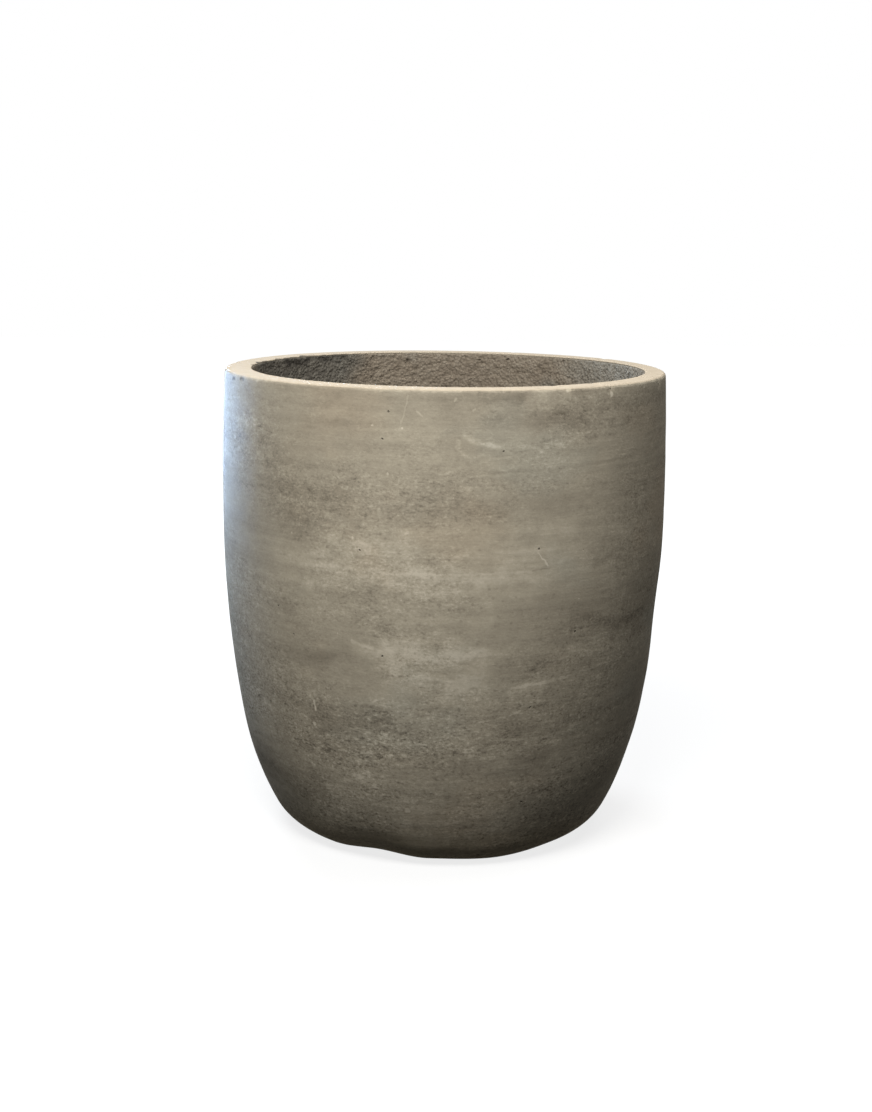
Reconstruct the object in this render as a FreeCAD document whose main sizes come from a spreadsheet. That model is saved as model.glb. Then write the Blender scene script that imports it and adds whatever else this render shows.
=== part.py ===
# Concrete urn planter: a hand-packed pot of two mortar coats over a strip cage, with a
# drain sleeve cast into its floor and a rubber bung that lifts out of the sleeve.
# Millimetres, +Z up, origin at the centre of the foot, on the ground.
import FreeCAD
import Part
import Sketcher
import math
import os

doc = FreeCAD.newDocument("UrnPlanter")

# Driving sizes
driving_sizes = {
    # Outside line of the pot, from the rim down
    "rim_diameter": 460.0,
    "pot_height": 489.0,
    "belly_swell": 4.0,           # the widest ring stands out this far past the rim
    "belly_height": 342.0,        # of the widest ring, above the ground
    "haunch_inset": 19.5,         # the wall has come in this far from the belly at the haunch
    "haunch_height": 120.0,       # of the ring where the wall starts to tuck in
    "foot_diameter": 276.0,       # of the flat that stands on the ground
    "foot_round": 50.0,           # corner from the flat up to the wall
    "foot_round_share": 0.85,     # most that it takes of the largest round with room for it
    # Mortar coats
    "wall_thickness": 27.0,       # both coats together
    "floor_thickness": 38.0,
    "floor_round": 48.0,          # inside corner from the wall to the floor
    "face_thickness": 6.0,        # fine outer coat
    "rim_round": 5.0,             # outer arris of the rim
    "rim_feather": 1.5,           # the fine coat thins to this at the inner arris
    # Cage of steel strip
    "strip_width": 6.0,
    "strip_thickness": 1.5,
    "cage_depth": 9.0,            # face of the hoops, in from the outside
    "cage_gap": 0.8,              # mortar between strips that cross
    "upright_count": 6,
    "upright_drop": 30.0,         # from the rim down to the top of the uprights
    "upright_reach": 60.0,        # radius at which their floor legs stop
    "rim_hoop_drop": 45.0,        # from the rim down to the top hoop
    # Drain
    "sleeve_bore": 32.0,
    "sleeve_wall": 3.0,
    "sleeve_lead": 1.0,           # bevel at the mouth of the bore
    "plug_clearance": 0.3,
    "plug_taper": 1.5,            # loss of radius down the stem
    "plug_stem_length": 26.0,
    "flange_lap": 7.0,            # the flange reaches this far past the sleeve
    "flange_thickness": 4.0,
    "neck_diameter": 14.0,
    "neck_height": 7.0,
    "knob_diameter": 24.0,        # knob that the fingers pull on
    "knob_height": 9.0,
    "knob_bevel": 2.5,
}

sheet = doc.addObject("Spreadsheet::Sheet", "Sizes")
for row, (alias, number) in enumerate(driving_sizes.items(), start=1):
    sheet.set(f"A{row}", alias)
    sheet.set(f"B{row}", str(number))
    sheet.setAlias(f"B{row}", alias)
doc.recompute()


def size(alias):
    return float(sheet.get(alias))


# Places that several pieces share
belly_across = "Sizes.rim_diameter / 2 + Sizes.belly_swell"
sleeve_across = "Sizes.sleeve_bore / 2 + Sizes.sleeve_wall"
skin_top = "Sizes.pot_height - Sizes.face_thickness"
arris_top = "Sizes.pot_height - Sizes.rim_feather"
upright_face = "Sizes.cage_depth + Sizes.strip_thickness + Sizes.cage_gap"
upright_back = f"{upright_face} + Sizes.strip_thickness"
haunch_angle = "2 * atan(Sizes.haunch_inset / (Sizes.belly_height - Sizes.haunch_height))"
foot_inset = f"({belly_across} - Sizes.haunch_inset - Sizes.foot_diameter / 2)"
foot_room = (f"({foot_inset} * cos({haunch_angle}) - Sizes.haunch_height * sin({haunch_angle}))"
             f" / (1 - sin({haunch_angle}))")
foot_corner_round = f"min(Sizes.foot_round; Sizes.foot_round_share * {foot_room})"
sleeve_radius = size("sleeve_bore") / 2 + size("sleeve_wall")

# Sketch places: ends and centre of a curve, and the sketch's own cross
START, END, CENTRE = range(1, 4)
ORIGIN, UP_AXIS = range(-1, -3, -1)


# Sketch helpers: across is the radius, up is the height
def point(across, up):
    return FreeCAD.Vector(across, up, 0)


def new_body(name):
    body = doc.addObject("PartDesign::Body", name)
    body.Label = name
    return body


def new_sketch(body, name, role="XZ_Plane"):
    sketch = body.newObject("Sketcher::SketchObject", name)
    plane = next(feature for feature in body.Origin.OriginFeatures if feature.Role == role)
    sketch.AttachmentSupport = [(plane, "")]
    sketch.MapMode = "FlatFace"
    return sketch


def add_line(sketch, start, end):
    return sketch.addGeometry(Part.LineSegment(start, end), False)


def add_arc(sketch, centre, radius, first, last, construction=False):
    circle = Part.Circle(centre, FreeCAD.Vector(0, 0, 1), radius)
    return sketch.addGeometry(Part.ArcOfCircle(circle, first, last), construction)


def tie(sketch, kind, *places):
    sketch.addConstraint(Sketcher.Constraint(kind, *places))


def chain(sketch, *ends):
    for first, second in zip(ends[::2], ends[1::2]):
        tie(sketch, "Coincident", *first, *second)


def dimension(sketch, name, kind, places, value, expression):
    index = sketch.addConstraint(Sketcher.Constraint(kind, *places, value))
    sketch.renameConstraint(index, name)
    sketch.setExpression(f"Constraints.{name}", expression)


def set_up(sketch, name, curve, end, expression):
    drawn = sketch.getPoint(curve, end).y
    dimension(sketch, f"{name}_up", "DistanceY", (ORIGIN, START, curve, end), drawn, expression)


def set_across(sketch, name, curve, end, expression):
    drawn = sketch.getPoint(curve, end).x
    dimension(sketch, f"{name}_across", "DistanceX", (ORIGIN, START, curve, end), drawn, expression)


# Straight edges through corners, each (name, across, up, across and up as expressions)
def draw_corners(sketch, corners):
    spots = [point(across, up) for name, across, up, across_text, up_text in corners]
    lines = [add_line(sketch, start, end) for start, end in zip(spots, spots[1:])]
    for before, after in zip(lines, lines[1:]):
        tie(sketch, "Coincident", before, END, after, START)
    ends = [(edge, START) for edge in lines] + [(lines[-1], END)]
    for (edge, end), (name, across, up, across_text, up_text) in zip(ends, corners):
        if across:
            set_across(sketch, name, edge, end, across_text)
        else:
            tie(sketch, "PointOnObject", edge, end, UP_AXIS)
        if up:
            set_up(sketch, name, edge, end, up_text)
        else:
            tie(sketch, "PointOnObject", edge, end, ORIGIN)
    return lines


def revolve(body, sketch, name):
    turned = body.newObject("PartDesign::Revolution", name)
    turned.Profile = sketch
    turned.ReferenceAxis = (sketch, ["V_Axis"])
    turned.Angle = 360
    return turned


# Outside line of the pot: foot corner, tuck, lower wall and upper wall are four arcs that run
# on into each other, between the stations foot, haunch, belly and rim
class PotLine:
    def __init__(self):
        self.rim = point(size("rim_diameter") / 2, size("pot_height"))
        self.belly = point(self.rim.x + size("belly_swell"), size("belly_height"))
        self.haunch = point(self.belly.x - size("haunch_inset"), size("haunch_height"))
        self.foot = point(size("foot_diameter") / 2, 0)
        rise = self.rim.y - self.belly.y
        drop = self.belly.y - self.haunch.y
        swell = self.belly.x - self.rim.x
        inset = self.belly.x - self.haunch.x
        self.upper_radius = (rise ** 2 + swell ** 2) / (2 * swell)
        self.upper_centre = point(self.belly.x - self.upper_radius, self.belly.y)
        self.haunch_angle = 2 * math.atan(inset / drop)
        self.lower_radius = drop / math.sin(self.haunch_angle)
        self.lower_centre = point(self.belly.x - self.lower_radius, self.belly.y)
        inward = (self.lower_centre - self.haunch) / self.lower_radius
        foot_room = inward.dot(self.foot - self.haunch) / (1 - inward.y)
        self.foot_radius = min(size("foot_round"), size("foot_round_share") * foot_room)
        self.foot_centre = point(self.foot.x, self.foot_radius)
        across = self.haunch - self.foot_centre
        self.tuck_radius = ((self.foot_radius ** 2 - across.dot(across))
                            / (2 * (across.dot(inward) + self.foot_radius)))
        self.tuck_centre = self.haunch + inward * self.tuck_radius
        toward = self.foot_centre - self.tuck_centre
        self.foot_angle = math.atan2(-toward.y, toward.x)

    def foot_corner(self, depth):
        return self.foot_centre, self.foot_radius - depth, self.foot_angle

    # Corner of another radius and height that meets the tuck arc at the same depth
    def floor_corner(self, depth, radius, height):
        reach = self.tuck_radius - depth - radius
        fall = self.tuck_centre.y - (height + radius)
        across = self.tuck_centre.x + math.sqrt(reach ** 2 - fall ** 2)
        return point(across, height + radius), radius, math.asin(fall / reach)

    def upper_angle(self, depth, height):
        return math.asin((height - self.belly.y) / (self.upper_radius - depth))

    def upper_point(self, depth, height):
        reach = (self.upper_radius - depth) * math.cos(self.upper_angle(depth, height))
        return point(self.upper_centre.x + reach, height)


pot = PotLine()


# Corner, tuck, lower wall and upper wall at one depth, up to a top height
def draw_arcs(sketch, depth, corner, top_height, construction=False):
    centre, radius, angle = corner
    top_angle = pot.upper_angle(depth, top_height)
    arcs = [
        add_arc(sketch, centre, radius, -math.pi / 2, -angle, construction),
        add_arc(sketch, pot.tuck_centre, pot.tuck_radius - depth, -angle, -pot.haunch_angle, construction),
        add_arc(sketch, pot.lower_centre, pot.lower_radius - depth, -pot.haunch_angle, 0, construction),
        add_arc(sketch, pot.upper_centre, pot.upper_radius - depth, 0, top_angle, construction),
    ]
    for below, above in zip(arcs, arcs[1:]):
        tie(sketch, "Tangent", below, END, above, START)
    tie(sketch, "Vertical", arcs[0], CENTRE, arcs[0], START)
    return arcs


# The outside line itself, held by its stations
def draw_outside(sketch, construction=False):
    foot, tuck, lower, upper = arcs = draw_arcs(sketch, 0, pot.foot_corner(0), pot.rim.y, construction)
    set_across(sketch, "rim", upper, END, "Sizes.rim_diameter / 2")
    set_up(sketch, "rim", upper, END, "Sizes.pot_height")
    set_across(sketch, "belly", lower, END, belly_across)
    set_up(sketch, "belly", lower, END, "Sizes.belly_height")
    tie(sketch, "Horizontal", lower, CENTRE, lower, END)
    set_across(sketch, "haunch", tuck, END, f"{belly_across} - Sizes.haunch_inset")
    set_up(sketch, "haunch", tuck, END, "Sizes.haunch_height")
    set_across(sketch, "foot", foot, START, "Sizes.foot_diameter / 2")
    tie(sketch, "PointOnObject", foot, START, ORIGIN)
    dimension(sketch, "foot_round", "Radius", (foot,), pot.foot_radius, foot_corner_round)
    return arcs


# Keeps arcs at one depth inside the outside line
def keep_depth(sketch, name, depth, expression, arcs, outside, first=0):
    for inner, outer in list(zip(arcs, outside))[first:]:
        tie(sketch, "Coincident", inner, CENTRE, outer, CENTRE)
    dimension(sketch, f"{name}_depth", "DistanceX", (arcs[2], END, outside[2], END), depth, expression)


# Joint between the two coats
def draw_skin(sketch, outside):
    depth = size("face_thickness")
    arcs = draw_arcs(sketch, depth, pot.foot_corner(depth), size("pot_height") - depth)
    keep_depth(sketch, "skin", depth, "Sizes.face_thickness", arcs, outside)
    set_up(sketch, "skin_top", arcs[-1], END, skin_top)
    return arcs


# Fine coat: outside of the pot, under the foot and over the rim
def make_face_coat():
    body = new_body("face_coat")
    sketch = new_sketch(body, "face_section")
    outside = draw_outside(sketch)
    skin = draw_skin(sketch, outside)
    coat = size("face_thickness")
    wall = size("wall_thickness")
    arris = pot.upper_point(wall, size("pot_height") - size("rim_feather"))
    throat = add_arc(sketch, pot.upper_centre, pot.upper_radius - wall, 0,
                     pot.upper_angle(wall, arris.y), construction=True)
    tie(sketch, "Coincident", throat, CENTRE, outside[3], CENTRE)
    tie(sketch, "Horizontal", throat, CENTRE, throat, START)
    dimension(sketch, "throat_depth", "DistanceX", (throat, START, outside[2], END),
              wall, "Sizes.wall_thickness")
    set_up(sketch, "arris", throat, END, arris_top)
    rim_top = add_line(sketch, pot.rim, point(arris.x, pot.rim.y))
    rim_edge = add_line(sketch, point(arris.x, pot.rim.y), arris)
    rim_bed = add_line(sketch, arris, sketch.getPoint(skin[3], END))
    under_top = add_line(sketch, point(pot.foot.x, coat), point(sleeve_radius, coat))
    bore = add_line(sketch, point(sleeve_radius, coat), point(sleeve_radius, 0))
    under = add_line(sketch, point(sleeve_radius, 0), pot.foot)
    chain(sketch, (outside[3], END), (rim_top, START), (rim_top, END), (rim_edge, START),
          (rim_edge, END), (throat, END), (rim_bed, START), (throat, END),
          (rim_bed, END), (skin[3], END), (skin[0], START), (under_top, START),
          (under_top, END), (bore, START), (bore, END), (under, START),
          (under, END), (outside[0], START))
    for level in (rim_top, under_top, under):
        tie(sketch, "Horizontal", level)
    for plumb in (rim_edge, bore):
        tie(sketch, "Vertical", plumb)
    set_across(sketch, "bore", bore, END, sleeve_across)
    turned = revolve(body, sketch, "face_turned")
    doc.recompute()
    circles = [(edge.Curve.Center.z, edge.Curve.Radius, f"Edge{number}")
               for number, edge in enumerate(turned.Shape.Edges, start=1)
               if isinstance(edge.Curve, Part.Circle) and abs(edge.Curve.Axis.z) == 1]
    top_circles = [circle for circle in circles if math.isclose(circle[0], pot.rim.y)]
    widest = max(top_circles, key=lambda circle: circle[1])
    rounded = body.newObject("PartDesign::Fillet", "rim_arris")
    rounded.Base = (turned, [widest[2]])
    rounded.setExpression("Radius", "Sizes.rim_round")
    body.Tip = rounded
    return body


# Coarse coat before the cage is bedded in it: wall and floor of the pot
def make_backing_mass():
    body = new_body("backing_mass")
    sketch = new_sketch(body, "backing_section")
    outside = draw_outside(sketch, construction=True)
    skin = draw_skin(sketch, outside)
    coat = size("face_thickness")
    floor = size("floor_thickness")
    depth = size("wall_thickness")
    corner = pot.floor_corner(depth, size("floor_round"), floor)
    wall = draw_arcs(sketch, depth, corner, size("pot_height") - size("rim_feather"))
    keep_depth(sketch, "wall", depth, "Sizes.wall_thickness", wall, outside, first=1)
    set_up(sketch, "arris", wall[3], END, arris_top)
    set_up(sketch, "floor", wall[0], START, "Sizes.floor_thickness")
    dimension(sketch, "floor_round", "Radius", (wall[0],), size("floor_round"), "Sizes.floor_round")
    rim_bed = add_line(sketch, sketch.getPoint(skin[3], END), sketch.getPoint(wall[3], END))
    floor_top = add_line(sketch, sketch.getPoint(wall[0], START), point(sleeve_radius, floor))
    bore = add_line(sketch, point(sleeve_radius, floor), point(sleeve_radius, coat))
    floor_bed = add_line(sketch, point(sleeve_radius, coat), point(pot.foot.x, coat))
    chain(sketch, (skin[3], END), (rim_bed, START), (rim_bed, END), (wall[3], END),
          (wall[0], START), (floor_top, START), (floor_top, END), (bore, START),
          (bore, END), (floor_bed, START), (floor_bed, END), (skin[0], START))
    for level in (floor_top, floor_bed):
        tie(sketch, "Horizontal", level)
    tie(sketch, "Vertical", bore)
    set_across(sketch, "bore", bore, END, sleeve_across)
    revolve(body, sketch, "backing_turned")
    return body


# Ring of strip whose face lies on the cage line, where one of its arcs ends
def make_hoop(name, station):
    body = new_body(name)
    sketch = new_sketch(body, f"{name}_section")
    outside = draw_outside(sketch, construction=True)
    depth = size("cage_depth")
    cage_top = size("pot_height") - size("rim_hoop_drop")
    arcs = draw_arcs(sketch, depth, pot.foot_corner(depth), cage_top, construction=True)
    keep_depth(sketch, "cage", depth, "Sizes.cage_depth", arcs, outside)
    set_up(sketch, "cage_top", arcs[3], END, "Sizes.pot_height - Sizes.rim_hoop_drop")
    width = size("strip_width")
    thickness = size("strip_thickness")
    spot = sketch.getPoint(arcs[station], END)
    low = spot.y - width / 2
    high = spot.y + width / 2
    face = add_line(sketch, point(spot.x, low), point(spot.x, high))
    top = add_line(sketch, point(spot.x, high), point(spot.x - thickness, high))
    back = add_line(sketch, point(spot.x - thickness, high), point(spot.x - thickness, low))
    under = add_line(sketch, point(spot.x - thickness, low), point(spot.x, low))
    chain(sketch, (face, END), (top, START), (top, END), (back, START),
          (back, END), (under, START), (under, END), (face, START))
    for plumb in (face, back):
        tie(sketch, "Vertical", plumb)
    for level in (top, under):
        tie(sketch, "Horizontal", level)
    tie(sketch, "Symmetric", face, START, face, END, arcs[station], END)
    dimension(sketch, "width", "DistanceY", (face, START, face, END), width, "Sizes.strip_width")
    dimension(sketch, "thickness", "DistanceX", (top, END, top, START), thickness, "Sizes.strip_thickness")
    revolve(body, sketch, f"{name}_turned")
    return body


# Strip inside the hoops: down the wall, round the foot corner and in along the floor
def make_upright(number):
    body = new_body(f"upright_strip_{number}")
    sketch = new_sketch(body, f"upright_section_{number}")
    outside = draw_outside(sketch, construction=True)
    face_depth = size("cage_depth") + size("strip_thickness") + size("cage_gap")
    back_depth = face_depth + size("strip_thickness")
    top_height = size("pot_height") - size("upright_drop")
    reach = size("upright_reach")
    face = draw_arcs(sketch, face_depth, pot.foot_corner(face_depth), top_height)
    back = draw_arcs(sketch, back_depth, pot.foot_corner(back_depth), top_height)
    keep_depth(sketch, "face", face_depth, upright_face, face, outside)
    keep_depth(sketch, "back", back_depth, upright_back, back, outside)
    set_up(sketch, "face_top", face[3], END, "Sizes.pot_height - Sizes.upright_drop")
    set_up(sketch, "back_top", back[3], END, "Sizes.pot_height - Sizes.upright_drop")
    top = add_line(sketch, sketch.getPoint(face[3], END), sketch.getPoint(back[3], END))
    leg_under = add_line(sketch, sketch.getPoint(face[0], START), point(reach, face_depth))
    leg_end = add_line(sketch, point(reach, face_depth), point(reach, back_depth))
    leg_top = add_line(sketch, point(reach, back_depth), sketch.getPoint(back[0], START))
    chain(sketch, (face[3], END), (top, START), (top, END), (back[3], END),
          (face[0], START), (leg_under, START), (leg_under, END), (leg_end, START),
          (leg_end, END), (leg_top, START), (leg_top, END), (back[0], START))
    for level in (leg_under, leg_top):
        tie(sketch, "Horizontal", level)
    tie(sketch, "Vertical", leg_end)
    set_across(sketch, "reach", leg_end, START, "Sizes.upright_reach")
    pad = body.newObject("PartDesign::Pad", f"upright_pad_{number}")
    pad.Profile = sketch
    pad.SideType = "Symmetric"
    pad.setExpression("Length", "Sizes.strip_width")
    turn = f"360 deg * {number - 1} / Sizes.upright_count"
    body.setExpression("Placement.Rotation.Angle", turn)
    return body


# Coarse coat with the cage bedded in it
def make_backing_coat(cage_strips):
    mass = make_backing_mass()
    cage = doc.addObject("Part::Compound", "cage")
    cage.Links = cage_strips
    bedded = doc.addObject("Part::Cut", "backing_coat")
    bedded.Label = "backing_coat"
    bedded.Base = mass
    bedded.Tool = cage
    return bedded


# Tube stub through the floor, flush with both faces
def make_drain_sleeve():
    body = new_body("drain_sleeve")
    sketch = new_sketch(body, "sleeve_section")
    bore = size("sleeve_bore") / 2
    floor = size("floor_thickness")
    lead = size("sleeve_lead")
    bore_across = "Sizes.sleeve_bore / 2"
    floor_up = "Sizes.floor_thickness"
    edges = draw_corners(sketch, [
        ("under_bore", bore, 0, bore_across, None),
        ("under_edge", sleeve_radius, 0, sleeve_across, None),
        ("top_edge", sleeve_radius, floor, sleeve_across, floor_up),
        ("lead_top", bore + lead, floor, f"{bore_across} + Sizes.sleeve_lead", floor_up),
        ("lead_foot", bore, floor - lead, bore_across, f"{floor_up} - Sizes.sleeve_lead"),
    ])
    bore_wall = add_line(sketch, point(bore, floor - lead), point(bore, 0))
    chain(sketch, (edges[-1], END), (bore_wall, START), (bore_wall, END), (edges[0], START))
    revolve(body, sketch, "sleeve_turned")
    return body


# Bung: tapered stem in the sleeve, flange on the floor, neck and bevelled knob to pull
def make_drain_plug():
    body = new_body("drain_plug")
    sketch = new_sketch(body, "plug_section")
    stem = size("sleeve_bore") / 2 - size("plug_clearance")
    tip = stem - size("plug_taper")
    flange = sleeve_radius + size("flange_lap")
    neck = size("neck_diameter") / 2
    knob = size("knob_diameter") / 2
    seat = size("floor_thickness")
    foot = seat - size("plug_stem_length")
    flange_top = seat + size("flange_thickness")
    neck_top = flange_top + size("neck_height")
    knob_top = neck_top + size("knob_height")
    bevel = size("knob_bevel")
    stem_across = "Sizes.sleeve_bore / 2 - Sizes.plug_clearance"
    flange_across = f"{sleeve_across} + Sizes.flange_lap"
    seat_up = "Sizes.floor_thickness"
    foot_up = f"{seat_up} - Sizes.plug_stem_length"
    flange_up = f"{seat_up} + Sizes.flange_thickness"
    neck_up = f"{flange_up} + Sizes.neck_height"
    knob_across = "Sizes.knob_diameter / 2"
    knob_up = f"{neck_up} + Sizes.knob_height"
    edges = draw_corners(sketch, [
        ("foot_axis", 0, foot, None, foot_up),
        ("foot_edge", tip, foot, f"{stem_across} - Sizes.plug_taper", foot_up),
        ("stem_top", stem, seat, stem_across, seat_up),
        ("flange_seat", flange, seat, flange_across, seat_up),
        ("flange_top", flange, flange_top, flange_across, flange_up),
        ("neck_foot", neck, flange_top, "Sizes.neck_diameter / 2", flange_up),
        ("neck_top", neck, neck_top, "Sizes.neck_diameter / 2", neck_up),
        ("knob_edge", knob, neck_top, knob_across, neck_up),
        ("bevel_foot", knob, knob_top - bevel, knob_across, f"{knob_up} - Sizes.knob_bevel"),
        ("bevel_top", knob - bevel, knob_top, f"{knob_across} - Sizes.knob_bevel", knob_up),
        ("knob_axis", 0, knob_top, None, knob_up),
    ])
    axis = add_line(sketch, point(0, knob_top), point(0, foot))
    chain(sketch, (edges[-1], END), (axis, START), (axis, END), (edges[0], START))
    revolve(body, sketch, "plug_turned")
    return body


hoop_stations = {"haunch_hoop": 1, "belly_hoop": 2, "rim_hoop": 3}    # arcs, counted up from the foot
hoops = [make_hoop(name, station) for name, station in hoop_stations.items()]
uprights = [make_upright(number) for number in range(1, int(size("upright_count")) + 1)]
pieces = [
    make_face_coat(),
    make_backing_coat(hoops + uprights),
    *hoops,
    *uprights,
    make_drain_sleeve(),
    make_drain_plug(),
]
doc.recompute()

# Every object has to be sound before anything is written
for item in doc.Objects:
    if "Invalid" in item.State or "Error" in item.State:
        raise RuntimeError(f"{item.Label} failed: {item.State}")
for piece in pieces:
    if piece.Shape.isNull() or not piece.Shape.isValid():
        raise RuntimeError(f"{piece.Label} has no valid shape")

os.makedirs("parts", exist_ok=True)
for piece in pieces:
    piece.Shape.exportStep(f"parts/{piece.Label}.step")
    print(piece.Label, len(piece.Shape.Solids), round(piece.Shape.Volume / 1000, 2), "cm3")
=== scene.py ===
import bpy
import math
import numpy as np
from mathutils import Matrix, Vector


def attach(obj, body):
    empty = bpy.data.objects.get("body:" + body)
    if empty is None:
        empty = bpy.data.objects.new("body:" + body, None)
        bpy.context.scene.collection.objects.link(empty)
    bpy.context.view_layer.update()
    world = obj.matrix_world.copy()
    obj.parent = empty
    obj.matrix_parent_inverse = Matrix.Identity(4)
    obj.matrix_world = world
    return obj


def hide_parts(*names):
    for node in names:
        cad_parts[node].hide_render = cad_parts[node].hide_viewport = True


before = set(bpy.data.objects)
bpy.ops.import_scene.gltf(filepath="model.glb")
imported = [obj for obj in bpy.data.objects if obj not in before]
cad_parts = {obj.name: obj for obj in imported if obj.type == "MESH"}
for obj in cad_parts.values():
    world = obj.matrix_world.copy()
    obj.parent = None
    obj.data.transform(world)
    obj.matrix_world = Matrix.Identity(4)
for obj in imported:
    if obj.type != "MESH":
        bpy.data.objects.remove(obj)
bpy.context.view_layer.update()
print("frame loaded:", len(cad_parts), "nodes")

# Sizes of the pot in metres: the stations of its solids, with a crisper rim
potSizes = {
    "rimRadius": 0.230,
    "height": 0.489,
    "bellySwell": 0.004,
    "bellyHeight": 0.342,
    "haunchInset": 0.0195,
    "haunchHeight": 0.120,
    "footRadius": 0.138,
    "footRound": 0.050,
    "wall": 0.027,
    "floor": 0.038,
    "floorRound": 0.048,
    "face": 0.006,
    "rimRound": 0.0036,
    "arrisRound": 0.0009,
    "feather": 0.0015,
    "bore": 0.019,
}
bellyRadius = potSizes["rimRadius"] + potSizes["bellySwell"]  # the wall is unrolled at this radius


def potArcs(sizes):
    belly = Vector((sizes["rimRadius"] + sizes["bellySwell"], sizes["bellyHeight"]))
    haunch = Vector((belly.x - sizes["haunchInset"], sizes["haunchHeight"]))
    rise = sizes["height"] - belly.y
    upper = (rise ** 2 + sizes["bellySwell"] ** 2) / (2 * sizes["bellySwell"])
    lean = 2 * math.atan(sizes["haunchInset"] / (belly.y - haunch.y))
    lower = (belly.y - haunch.y) / math.sin(lean)
    lowerCentre = Vector((belly.x - lower, belly.y))
    footCentre = Vector((sizes["footRadius"], sizes["footRound"]))
    inward = (lowerCentre - haunch) / lower
    across = haunch - footCentre
    room = sizes["footRound"] ** 2 - across.dot(across)
    tuck = room / (2 * (across.dot(inward) + sizes["footRound"]))
    tuckCentre = haunch + inward * tuck
    toFoot = footCentre - tuckCentre
    return {
        "upper": (Vector((belly.x - upper, belly.y)), upper),
        "lower": (lowerCentre, lower),
        "tuck": (tuckCentre, tuck),
        "foot": (footCentre, sizes["footRound"]),
        "lean": lean,
        "footAngle": math.atan2(-toFoot.y, toFoot.x),
    }


arcs = potArcs(potSizes)


# Rows along the pot's section, each a radius and a height
def arcRows(arc, depth, start, end, step):
    centre, radius = arc[0], arc[1] - depth
    count = max(2, round(abs(end - start) * radius / step))
    turns = [start + (end - start) * k / count for k in range(count)]
    return [(centre.x + radius * math.cos(a), centre.y + radius * math.sin(a)) for a in turns]


def straightRows(start, end, step):
    count = max(1, round(math.dist(start, end) / step))
    return [(start[0] + (end[0] - start[0]) * k / count, start[1] + (end[1] - start[1]) * k / count)
            for k in range(count)]


def upperAngle(depth, height):
    return math.asin((height - arcs["upper"][0].y) / (arcs["upper"][1] - depth))


def upperPoint(depth, height):
    reach = (arcs["upper"][1] - depth) * math.cos(upperAngle(depth, height))
    return arcs["upper"][0].x + reach, height


# The joint between the two coats, from the rim down to the bore
def skinRows(step):
    s = potSizes
    rows = arcRows(arcs["upper"], s["face"], upperAngle(s["face"], s["height"] - s["face"]), 0, step)
    rows += arcRows(arcs["lower"], s["face"], 0, -arcs["lean"], step)
    rows += arcRows(arcs["tuck"], s["face"], -arcs["lean"], -arcs["footAngle"], step)
    rows += arcRows(arcs["foot"], s["face"], -arcs["footAngle"], -math.pi / 2, step)
    rows += straightRows((s["footRadius"], s["face"]), (s["bore"], s["face"]), step)
    return rows + [(s["bore"], s["face"])]


# Node helpers: wires holds the sockets to link and the values to set
def put(tree, kind, wires=None, **settings):
    made = tree.nodes.new(kind)
    for name, value in settings.items():
        setattr(made, name, value)
    for key, value in (wires or {}).items():
        if isinstance(value, bpy.types.NodeSocket):
            tree.links.new(value, made.inputs[key])
        else:
            made.inputs[key].default_value = value
    return made


def maths(tree, operation, first, second=0.0, third=0.0, clamp=False):
    wires = {0: first, 1: second, 2: third}
    return put(tree, "ShaderNodeMath", wires, operation=operation, use_clamp=clamp).outputs[0]


def summed(tree, total, parts):  # the total so far, with each value times its amount
    for value, amount in parts:
        total = maths(tree, "MULTIPLY_ADD", value, amount, total)
    return total


def vectors(tree, operation, first, second=(0, 0, 0)):
    made = put(tree, "ShaderNodeVectorMath", {0: first, 1: second}, operation=operation)
    return made.outputs["Value" if operation in ("DOT_PRODUCT", "LENGTH", "DISTANCE") else "Vector"]


def scaled(tree, vector, amount):
    wires = {0: vector, "Scale": amount}
    return put(tree, "ShaderNodeVectorMath", wires, operation="SCALE").outputs["Vector"]


def span(tree, value, low, high, toLow=0.0, toHigh=1.0):
    wires = {"Value": value, "From Min": low, "From Max": high, "To Min": toLow, "To Max": toHigh}
    return put(tree, "ShaderNodeMapRange", wires, interpolation_type="SMOOTHSTEP").outputs["Result"]


def cloud(tree, place, scale, detail, seed, stretch=None, rough=0.55):
    if stretch:
        place = vectors(tree, "MULTIPLY", place, stretch)
    wires = {"Vector": place, "W": seed, "Scale": scale, "Detail": detail, "Roughness": rough}
    return put(tree, "ShaderNodeTexNoise", wires, noise_dimensions="4D").outputs


def cells(tree, place, scale, feature="F1"):
    return put(tree, "ShaderNodeTexVoronoi", {"Vector": place, "Scale": scale}, feature=feature).outputs


def cellLot(tree, found):  # a number of its own for each cell
    return put(tree, "ShaderNodeSeparateColor", {0: found["Color"]}).outputs["Red"]


def scattered(tree, place, scale, reach, share):  # round dots in a share of the cells
    found = cells(tree, place, scale)
    lot = cellLot(tree, found)
    return maths(tree, "MULTIPLY", span(tree, found["Distance"], *reach, 1.0, 0.0),
                 span(tree, lot, *share))


def blend(tree, amount, first, second, way="MIX"):
    wires = {0: amount, 6: first, 7: second}
    return put(tree, "ShaderNodeMix", wires, data_type="RGBA", blend_type=way).outputs[2]


def ramp(tree, value, stops):
    made = put(tree, "ShaderNodeValToRGB", {"Fac": value})
    steps = made.color_ramp.elements
    for k, (at, colour) in enumerate(stops):
        step = steps[k] if k < 2 else steps.new(at)
        step.position = at
        step.color = (*colour, 1)
    return made.outputs["Color"]


def raiseRelief(tree, shader, height):  # the height is in millimetres
    bump = put(tree, "ShaderNodeBump", {"Strength": 1.0, "Distance": 0.001, "Height": height})
    tree.links.new(bump.outputs[0], shader.inputs["Normal"])


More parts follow.
